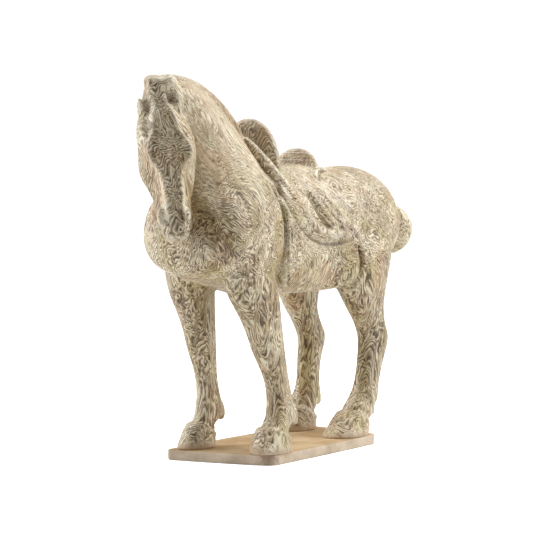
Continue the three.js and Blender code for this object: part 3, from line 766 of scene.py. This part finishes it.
# Each roll of cloth: its path x, y, z on the left side, its thickness at its start, its middle and
# its end. The first is the thick gathered edge that runs from in front of the saddle to the knot.
ROLLS = [
    ([(4, -75, 329), (15, -73, 321), (32, -70, 304), (44, -57, 282), (49, -40, 261),
      (53, -20, 242), (55, 2, 230), (56, 22, 227), (56.5, 38, 231)], (4.4, 5.4, 4)),
    ([(46, -14, 276), (51, -2, 258), (54, 16, 242), (56, 34, 232)], (1.5, 4.6, 3)),
    ([(46, 8, 274), (50.5, 19, 261), (53, 34, 248), (55, 48, 240)], (1, 3.2, 2)),
]
# Lumps of the knot: place along Y and in height on the flank, and reach.
KNOT_LUMPS = [((18, 231), (6, 10, 7)), ((40, 226), (6, 12, 5.5)), ((55, 230), (6, 11, 7)),
              ((33, 241), (5, 9, 4))]
# Loose lobe of cloth beside the foot of the rear arch.
LOBE, LOBE_REACH = (17, 38, 293), (17, 9, 4)


def arch(y, z, rise, half_width, thick, lean):
    """Rounded plate across the back, leaning forwards or back, with softened rims."""
    angle = np.linspace(0, np.pi, 60)
    outline = np.column_stack([half_width * np.cos(angle), rise * np.sin(angle) ** 0.8])
    outline = np.concatenate([outline, half_width * np.array([[-0.8, 0], [0.8, 0]]) - [0, 12]])
    layers = [(-0.5, 0.86), (-0.42, 0.95), (-0.25, 1), (0.25, 1), (0.42, 0.95), (0.5, 0.86)]
    rings = [np.column_stack([outline[:, 0] * scale, y + depth * thick + lean * outline[:, 1],
                              z + outline[:, 1] * scale]) for depth, scale in layers]
    return loft(np.array(rings))


def on_trunk(side, y, turn, lift):
    """Places on the trunk: along Y, turned down from the spine, lifted off the surface.

    Below the widest line they hang straighter than the trunk, as a loose cloth does.
    """
    _, mid, wide, up, down, power = along(TRUNK, y).T
    power = np.where(np.cos(turn) > 0, power, FLAP_HANG)
    x, z = bent(np.sin(turn), power), bent(np.cos(turn), power)
    reach = np.where(z > 0, up, down)
    out = np.column_stack([side * x / wide, 0 * x, z / reach])
    out /= np.linalg.norm(out, axis=1)[:, None]
    return np.column_stack([side * wide * x, y, mid + reach * z]) + out * lift[:, None]


def smooth(value, low, high):
    """Rises smoothly from 0 to 1 as a value goes from low to high."""
    share = np.clip((value - low) / (high - low), 0, 1)
    return share ** 2 * (3 - 2 * share)


def bell(value, middle, width):
    """Goes from 0 up to 1 at a middle and down again."""
    return np.exp(-((value - middle) / width) ** 2)


def flap(side, spokes=220):
    """Rounded panel of cloth, laid out from its middle outwards with a soft rim.

    Above the knot its rear edge runs slantwise up to the cantle; below it a round lobe stands
    off the thigh.
    """
    angle = np.linspace(0, 2 * np.pi, spokes, endpoint=False)
    rims = [(1, -4), (1, 0.2), (0.993, 0.5), (0.985, 0.75), (0.965, 0.93), (0.94, 1)]
    rims += [(share, 1) for share in np.linspace(0.88, 0.04, 24)]
    lobe = (np.cos(angle) > 0) & (np.sin(angle) > 0)
    power = np.where(lobe, FLAP_LOBE_POWER, FLAP_POWER)
    ahead, low = bent(np.cos(angle), power), bent(np.sin(angle), power)
    rings = []
    for share, lift in rims:
        turn = FLAP_MIDDLE_TURN + share * FLAP_HALF_TURN * low
        slant = np.clip((FLAP_CUT_TURNS[1] - turn) / (FLAP_CUT_TURNS[1] - FLAP_CUT_TURNS[0]), 0, 1)
        reach = FLAP_HALF_LENGTH * np.where(ahead > 0, 1 - FLAP_CUT * slant, 1)
        y = FLAP_MIDDLE_Y + share * reach * ahead
        flare = FLAP_FLARE * smooth(y, *FLARE_Y) * smooth(turn, *FLARE_TURN)
        lift = lift * CLOTH_THICK + flare * max(lift, 0)
        rings.append(on_trunk(side, y, turn, lift))
    return loft(np.array(rings))


def seat():
    """Low pad between the arches that dips in the middle."""
    t = np.linspace(-1, 1, 50)
    centre = np.array(SEAT_MIDDLE) + t[:, None] * SEAT_HALF_LENGTH * Y
    wide, up, down = SEAT_REACH
    return loft(ovals(centre, X, Z, wide, up * (1 + SEAT_DIP * t ** 2), down, 2.4))


def flank(y, z):
    """Half width of the trunk at places on its side."""
    _, mid, wide, up, down, power = along(TRUNK, y).T
    reach = np.minimum(np.abs(z - mid) / np.where(z > mid, up, down), 1)
    return wide * (1 - reach ** power) ** (1 / power)


def roll(side, path, thicknesses):
    """Roll of cloth along a path, round in section, its thickness eased from start to end."""
    path = curved(path, 100) * [side, 1, 1]
    heading = np.gradient(path, axis=0)
    heading /= np.linalg.norm(heading, axis=1)[:, None]
    across = np.cross(heading, X)
    across /= np.linalg.norm(across, axis=1)[:, None]
    start, middle, end = thicknesses
    t = np.linspace(0, 1, len(path))
    size = np.where(t < 0.5, start + (middle - start) * smooth(t, 0, 0.4),
                    end + (middle - end) * smooth(-t, -1, -0.6))
    size *= np.sqrt(np.clip(np.minimum(t, 1 - t) * 20 + 0.02, 0, 1))
    return loft(ovals(path, across, np.cross(across, heading), size, size, size, sides=32))


cloth = [arch(**POMMEL), arch(**CANTLE), seat()]
for side in (-1, 1):
    cloth.append(flap(side))
    cloth += [roll(side, *form) for form in ROLLS]
    cloth.append(bulge(np.array(LOBE) * [side, 1, 1], LOBE_REACH))
    for (y, z), reach in KNOT_LUMPS:
        x = side * (flank(np.array([y]), np.array([z]))[0] + CLOTH_THICK - 1)
        cloth.append(bulge([x, y, z], reach))

# Whole skin, with its finer carving
# Body, crisp forms and cloth are one clay, so they are skinned as one; then the finer creases and
# edges are pressed into that skin.
SKIN_VOXEL, SKIN_PASSES = 1.45, 2
SKIN_TRIANGLES = 196000
skin_points, skin_faces = fused([body, *crisp, *cloth], SKIN_VOXEL, SKIN_PASSES)


def normals_of(points, faces):
    """Unit normals of a skin's points."""
    mesh = mesh_from("probe", points, faces)
    found = np.empty(len(points) * 3, np.float32)
    mesh.vertex_normals.foreach_get("vector", found)
    bpy.data.meshes.remove(mesh)
    return found.reshape(-1, 3).astype(float)


def beside(places, line):
    """Distance of places from a line in a plane, their side of it, and their share along it."""
    nearest = np.full(len(places), np.inf)
    sign, progress = np.ones(len(places)), np.zeros(len(places))
    for k, (start, end) in enumerate(zip(line[:-1], line[1:])):
        step = end - start
        offset = places - start
        share = np.clip(offset @ step / (step @ step), 0, 1)
        gap = np.linalg.norm(offset - share[:, None] * step, axis=1)
        closer = gap < nearest
        nearest[closer] = gap[closer]
        sign[closer] = np.sign(step[0] * offset[:, 1] - step[1] * offset[:, 0])[closer]
        progress[closer] = (k + share[closer]) / (len(line) - 1)
    return nearest, sign, progress


def press(places, depth, width, points, steep=1.0):
    """Lift along a line: a bell across it, narrower on its right by `steep`, fading at its ends."""
    gap, sign, progress = beside(places, curved(points, 50))
    width = np.where(sign < 0, width * steep, width)
    fade = np.minimum(np.sin(np.pi * (0.04 + 0.92 * progress)) * 2.2, 1)
    return depth * fade * bell(gap, 0, width)


# Pressed lines on the side of the trunk: depth, width, places (y, z), and how steep one side is
# where it is steeper than the other.
FLANK_LINES = [
    (-2.6, 1.9, [(-84, 292), (-77, 278), (-71, 262), (-68, 244), (-67, 224), (-65, 204), (-58, 188),
                 (-48, 176)], 0.8),
    (-3.4, 2.2, [(-70, 280), (-62, 262), (-50, 246), (-35, 234), (-22, 226), (0, 219), (23, 217),
                 (46, 219)], 0.8),
    (-3.4, 2.6, [(-22, 276), (-13, 259), (0, 244), (12, 235)], 0.8),
    (-1.6, 1.5, [(3, 268), (14, 252), (28, 240)]),
    (1.2, 1.3, [(-72, 268), (-65, 257), (-60, 238), (-57, 214)]),
    (1.2, 1.3, [(-60, 252), (-51, 240), (-44, 229), (-43, 212)]),
    (-3.4, 2.2, [(28, 236), (38, 233)]),
    (-3.2, 1.9, [(68, 222), (72, 204), (69, 188), (61, 172), (48, 163)]),
]
# Pressed lines on the face, as places (to the left, height).
FACE_LINES = [
    (0.9, 2.0, [(-7.2, 364), (-13, 353), (-22, 347)]),
    (0.9, 2.0, [(8, 364), (13, 354), (22, 347)]),
    (-2.8, 2.4, [(-13, 263), (-12.7, 252), (-9.6, 245)]),
    (-2.2, 2.0, [(3.4, 264), (5.2, 252)]),
    (1.3, 1.6, [(-17.5, 264), (-16, 250), (-10.5, 241)]),
    (1.4, 1.8, [(-8.5, 294), (-8.7, 277), (-8.3, 264), (-7.3, 253)]),
    (1.2, 1.8, [(11, 294), (9.5, 281), (8, 266)]),
    (-1.4, 1.6, [(-14, 245), (-2, 238), (11, 245)]),
    (1.5, 1.9, [(-16, 241), (-8, 235), (-1.7, 231), (6.8, 235.5), (13.7, 242.5)]),
    (-1.2, 2.0, [(-16, 368), (-14.5, 362), (-13.8, 355)]),
    (-2.0, 2.4, [(11, 381), (11.5, 373), (13.6, 366)]),
    (-1.0, 1.2, [(8, 383), (7, 378), (7, 371), (9, 363)]),
]
# Pressed lines on the sides of the head, as places (forward, height).
TEMPLE_LINES = [
    (-1.8, 1.2, [(-1, 335), (8, 336.5), (15, 335.5), (21, 333)]),
    (1.2, 1.2, [(0, 331.5), (9, 332), (19, 330)]),
    (-1.2, 1.4, [(-2, 346), (8, 349.5), (17, 346)]),
]
# Creases round the feet: how high and how far out the feet reach, how far below a spur's middle its
# crease lies, the height of the coronet, and how much lower it is behind.
FOOT_TOP, FOOT_REACH, SPUR_CREASE = 60, 40, 12
CORONET, CORONET_DROP = 30, 7


def pressed(points, normals):
    """Skin with its lines pressed in along its normals."""
    lift = np.zeros(len(points))
    height = points[:, 2]
    side = np.clip(np.abs(normals[:, 0]) * 2.5 - 0.6, 0, 1) * (points[:, 1] > -110)
    for line in FLANK_LINES:
        lift += side * press(points[:, 1:], *line)
    head = points[:, 1] < -165
    left, out = from_head(points)
    front = head * np.clip(normals @ FACE * 2.2 - 0.3, 0, 1)
    for line in FACE_LINES:
        lift += front * press(np.column_stack([left, height]), *line)
    temple = head * np.clip((np.abs(left) - 10) / 4, 0, 1)
    for line in TEMPLE_LINES:
        lift += temple * press(np.column_stack([out, height]), *line)
    for name, (_, z) in SPURS.items():
        _, x, y = along(LEGS[name][2], -np.clip(height, SLAB_THICK, FOOT_TOP)).T
        away = np.hypot(points[:, 0] - x, points[:, 1] - y)
        back = (points[:, 1] - y) / np.maximum(away, 1)
        mine = (height < FOOT_TOP) * (away < FOOT_REACH)
        coronet = CORONET - CORONET_DROP * back
        lift -= mine * 2.6 * np.clip(back, 0, 1) * bell(height, z - SPUR_CREASE, 2.8)
        lift -= mine * 1.3 * bell(height, coronet + 3, 2)
        lift += mine * 0.8 * bell(height, coronet - 1, 1.8)
    return points + normals * lift[:, None]


skin_points = pressed(skin_points, normals_of(skin_points, skin_faces))


def thinned(points, faces, triangles):
    """Skin with fewer triangles, kept where it curves most."""
    share = min(1.0, triangles / (2 * len(faces)))
    made = altered(mesh_from("rough", points, faces), {"DECIMATE": {"ratio": share}})
    work = bmesh.new()
    work.from_mesh(made)
    sole = Vector((0, 0, SLAB_THICK))
    everything = work.verts[:] + work.edges[:] + work.faces[:]
    bmesh.ops.bisect_plane(work, geom=everything, plane_co=sole, plane_no=-Z, clear_outer=True)
    bmesh.ops.holes_fill(work, edges=[e for e in work.edges if e.is_boundary])
    bmesh.ops.triangulate(work, faces=work.faces[:])
    work.to_mesh(made)
    work.free()
    return taken(made, 3)


skin_points, skin_faces = thinned(skin_points, skin_faces, SKIN_TRIANGLES)
skin_normals = normals_of(skin_points, skin_faces)


def settled(values, faces, passes):
    """Values on a skin's points averaged with their neighbours' again and again."""
    start = faces.ravel()
    end = np.roll(faces, -1, axis=1).ravel()
    share = np.bincount(start, minlength=len(values)) + np.bincount(end, minlength=len(values))
    for _ in range(passes):
        total = np.stack([
            np.bincount(start, values[end, k], len(values))
            + np.bincount(end, values[start, k], len(values))
            for k in range(values.shape[1])], -1)
        values = 0.5 * values + 0.5 * total / np.maximum(share, 1)[:, None]
    return values


HOLLOW_PASSES = 24


# Used to paint shade into the hollows, and a highlight onto ridges and edges.
def hollows():
    """How deep each point lies below the skin around it, in millimetres."""
    around = settled(skin_points, skin_faces, HOLLOW_PASSES)
    return ((around - skin_points) * skin_normals).sum(1)


# Marbled clay
# Two clays, cream and grey-brown, stacked, folded and cut, so their thin layers swirl on the
# surface. They run along the neck and the legs. A clear glaze covers them, yellow-green where
# it lies thick, and leaves the soles bare.
LEG_ROOT, LEG_STRETCH = 190, 0.35
NECK_ROOT = np.array([0, -110, 262.0])
NECK_WAY = np.array([0, -0.62, 0.78])
NECK_STRETCH = 0.35
# Soft patches over the clay, partly its own paler and deeper tone. Most are painted shade, as on the
# chest under the head, on the legs and by the saddle arches, and some are painted light, as on the
# tail, by the poll and on the cloth beside the rear arch: middle, reach and amount of each soft patch.
TONE_AND_SHADE_PATCHES = [
    ((44, -168, 256), 24, 0.7), ((48, -160, 228), 26, 0.55), ((24, -182, 246), 24, 0.4),
    ((-28, -100, 150), 42, 0.4), ((54, -108, 166), 26, 0.4), ((54, -100, 138), 11, -0.5),
    ((50, 100, 110), 62, 0.6), ((-35, 105, 120), 62, 0.3), ((46, -84, 120), 60, 0.3),
    ((0, -58, 332), 30, 0.7), ((4, 26, 310), 15, 0.8), ((24, 42, 292), 9, -1.8),
    ((13, -203, 384), 12, -1.2), ((-7, -220, 362), 10, -0.5), ((22, 200, 226), 24, -1.1),
    ((34, -140, 326), 36, -0.35), ((54, 20, 190), 40, 0.25), ((-2, -215, 250), 14, 0.3),
    ((37, 103, 278), 28, 0.3), ((50, 0, 190), 22, -0.6),
]
# The flat front of the face is painted deeper, more so down the nose, with a pale ridge on each side of
# it: painted shade on the front over clay of a somewhat deeper tone, and a painted highlight, with some
# worn glaze, along each ridge.
FACE_TONE_AND_SHADE, NOSE_TONE_AND_SHADE, RIDGE_HIGHLIGHT_AND_WEAR = 0.35, 0.3, 1.1
FACE_TOP, FACE_FOOT, NOSE_TOP, NOSE_FOOT = 371, 236, (312, 290), (238, 246)
# The marbling is this much softer on the neck: from how far up it, and up to the head.
NECK_CALM, CALM_UP, CALM_BACK = 0.5, (25, 60), (-197, -182)


def clay_flow(points):
    """Coordinates of the clay's layers: the place, shortened along the legs and the neck."""
    flow = points.copy()
    below = np.maximum(LEG_ROOT - points[:, 2], 0)
    flow[:, 2] += below * (1 - LEG_STRETCH)
    past = np.maximum((points - NECK_ROOT) @ NECK_WAY, 0)
    flow -= past[:, None] * NECK_WAY * (1 - NECK_STRETCH)
    return flow


def shade_and_tone(points):
    """How much deeper the clay is painted, its own tone together with painted shade and light: bells
    round the patches, and the flat front of the face.
    """
    share = np.zeros(len(points))
    for middle, reach, amount in TONE_AND_SHADE_PATCHES:
        share += amount * bell(np.linalg.norm(points - middle, axis=1), 0, reach)
    height = points[:, 2]
    row = along(HEAD, np.clip(-height, HEAD[0, 0], HEAD[-1, 0]))
    left, out = from_head(points)
    past_edge = np.abs(left - row[:, 1]) - row[:, 2]
    nose = smooth(height, *NOSE_TOP) * smooth(height, *NOSE_FOOT)
    inside = np.clip((0.6 - past_edge) / 1.8, 0, 1) * (height > FACE_FOOT) * (height < FACE_TOP)
    ridge = bell(past_edge, 2.4, 2) * nose
    front = out > row[:, 3] - 9
    return share + front * ((FACE_TONE_AND_SHADE + NOSE_TONE_AND_SHADE * nose) * inside - RIDGE_HIGHLIGHT_AND_WEAR * ridge)


def calmer(points):
    """Where the marbling is softer: 1 on the neck and 0 elsewhere."""
    past = (points - NECK_ROOT) @ NECK_WAY
    return smooth(past, *CALM_UP) * smooth(points[:, 1], *CALM_BACK)


# Sizes in millimetres of the layers, their folds and curls, and the streaks that break them up;
# then the fine scratches behind the saddle, in metres.
LAYER = 2.0
FOLD_SIZE, FOLD_REACH = 30, 17
CURL_SIZE, CURL_REACH = 8, 4.5
STREAK_WIDTH, STREAK_STRETCH = 1.25, 0.3
SCRATCH_WIDTH, SCRATCH_LENGTH = 0.0011, 0.07
SCRATCH_ACROSS, SCRATCH_DOWN = (0.0, 0.6, 0.8), (0.0, 0.8, -0.6)
MIDDLE_TONE = 0.56


def marbled_clay():
    """Folded layers of two clays under a satin glaze, with painted shade and painted light laid over
    them.

    The layers are a sine wave across coordinates that are pushed about by noise twice, so they
    fold; streaks of noise stretched along the layers break them up.
    """
    material, new, shader = finish("marbled_clay")
    place = new.node("ShaderNodeTexCoord", {}, {}, "Object")
    height = new.node("ShaderNodeSeparateXYZ", {}, {0: place}, "Z")
    flow = new.node("ShaderNodeAttribute", {"attribute_name": "clay_flow"}, {}, "Vector")
    hollow, dark, calm = (new.node("ShaderNodeAttribute", {"attribute_name": name}, {}, "Fac")
                          for name in ("hollow", "dark", "calm"))

    def folded(where, size, reach):
        """Coordinates moved by noise of one size, up to a reach each way."""
        push = vector(new, "SUBTRACT", noise(new, where, size, 1, 0.5, "Color"), (0.5,) * 3)
        return vector(new, "MULTIPLY_ADD", push, (2 * reach,) * 3, where)

    layers = folded(folded(flow, FOLD_SIZE, FOLD_REACH), CURL_SIZE, CURL_REACH)
    layers = new.node("ShaderNodeVectorRotate", {"rotation_type": "EULER_XYZ"},
                      {"Vector": layers, "Rotation": (0.0, -0.65, 0.68)})
    across = new.node("ShaderNodeSeparateXYZ", {}, {0: layers}, "X")
    streaks = vector(new, "MULTIPLY", layers, (1.0, STREAK_STRETCH, STREAK_STRETCH))
    streak = noise(new, streaks, STREAK_WIDTH, 2, 0.6)
    patches = noise(new, flow, 20, 2)
    broken = noise(new, flow, 3.5, 1)
    grain = noise(new, flow, 0.9, 2, 0.6)
    wave = (across * (2 * math.pi / LAYER) + (streak - 0.5) * 7).math("SINE")
    tone = wave * (broken * 0.78 - 0.12) + (streak - 0.5) * 2.3 + (patches - 0.5) * 0.8 + 0.53
    tone = (tone - MIDDLE_TONE) * (1 - calm * NECK_CALM) + MIDDLE_TONE
    # Painted shade and light, with some of the clay's own tone, from the patches and the face.
    tone = tone + (grain - 0.5) * 0.9 - dark * 0.22
    colour = tone.node("ShaderNodeValToRGB", {"stops": [
        (0.0, paint(100, 83, 64)), (0.2, paint(142, 123, 98)), (0.4, paint(178, 158, 128)),
        (0.56, paint(202, 184, 152)), (0.74, paint(232, 219, 190)), (1.0, paint(244, 237, 214))]},
        {"Fac": tone})
    greens = between(noise(new, flow, 30, 3), 0.46, 0.64) * between(height, 0.40, 0.22)
    colour = blend(greens * 0.5, colour, paint(206, 200, 138), "MULTIPLY")
    # Painted shade and light again, as a tint over the patches and the face.
    colour = blend(dark * 0.5, colour, paint(178, 170, 144), "MULTIPLY")
    # Painted shade: a deeper brown where the skin lies in a hollow, in a crease or between parts.
    colour = blend(between(hollow, 0.2, 1.8) * 0.5, colour, paint(112, 94, 66))
    # Painted highlight, with some worn glaze: paler where the skin stands out on a ridge or an edge.
    colour = blend(between(hollow, -0.45, -1.6) * 0.4, colour, paint(234, 225, 205))
    warm = between(noise(new, flow, 22, 2), 0.5, 0.68)
    colour = blend(warm * 0.45, colour, paint(236, 206, 180), "MULTIPLY")
    rust = between(noise(new, flow, 9, 4, 0.65), 0.64, 0.72)
    colour = blend(rust * 0.5, colour, paint(168, 112, 70))
    flecks = between(noise(new, place, 0.0016, 1), 0.70, 0.76) * between(patches, 0.45, 0.6)
    colour = blend(flecks * 0.6, colour, paint(245, 242, 232))
    ways = [tuple(v / SCRATCH_WIDTH for v in SCRATCH_ACROSS),
            tuple(v / SCRATCH_LENGTH for v in SCRATCH_DOWN)]
    shares = [vector(new, "DOT_PRODUCT", place, way, output="Value") for way in ways]
    lines = new.node("ShaderNodeCombineXYZ", {}, dict(enumerate(shares)))
    lines = noise(new, lines, 1, 0)
    lengthways = new.node("ShaderNodeSeparateXYZ", {}, {0: place}, "Y")
    saddle_side = between(lengthways, -0.02, 0.02) * between(lengthways, 0.13, 0.10)
    scratches = between(lines, 0.66, 0.71) * saddle_side * between(height, 0.21, 0.24)
    colour = blend(scratches * 0.8, colour, paint(244, 240, 230))
    sole = between(height + (patches - 0.5) * 0.02, 0.020, 0.012)
    colour = blend(sole * 0.7, colour, paint(205, 178, 148))
    material.node_tree.links.new(colour.socket, shader.inputs["Base Color"])
    gloss = 0.45 + sole * 0.4 + (grain - 0.5) * 0.2
    material.node_tree.links.new(gloss.socket, shader.inputs["Roughness"])
    relief = streak * 0.6 + grain * 0.5 - scratches * 0.5
    bump = new.node("ShaderNodeBump", {}, {
        "Strength": 0.4, "Distance": GRAIN_DEPTH, "Height": relief}, "Normal")
    material.node_tree.links.new(bump.socket, shader.inputs["Normal"])
    return material


horse_skin = piece("horse_skin", skin_points, skin_faces, marbled_clay(), "horse")
flow_layer = horse_skin.data.attributes.new("clay_flow", "FLOAT_VECTOR", "POINT")
flow_layer.data.foreach_set("vector", clay_flow(skin_points).astype(np.float32).ravel())
for name, values in {"hollow": hollows(), "dark": shade_and_tone(skin_points),
                     "calm": calmer(skin_points)}.items():
    layer = horse_skin.data.attributes.new(name, "FLOAT", "POINT")
    layer.data.foreach_set("value", values.astype(np.float32))
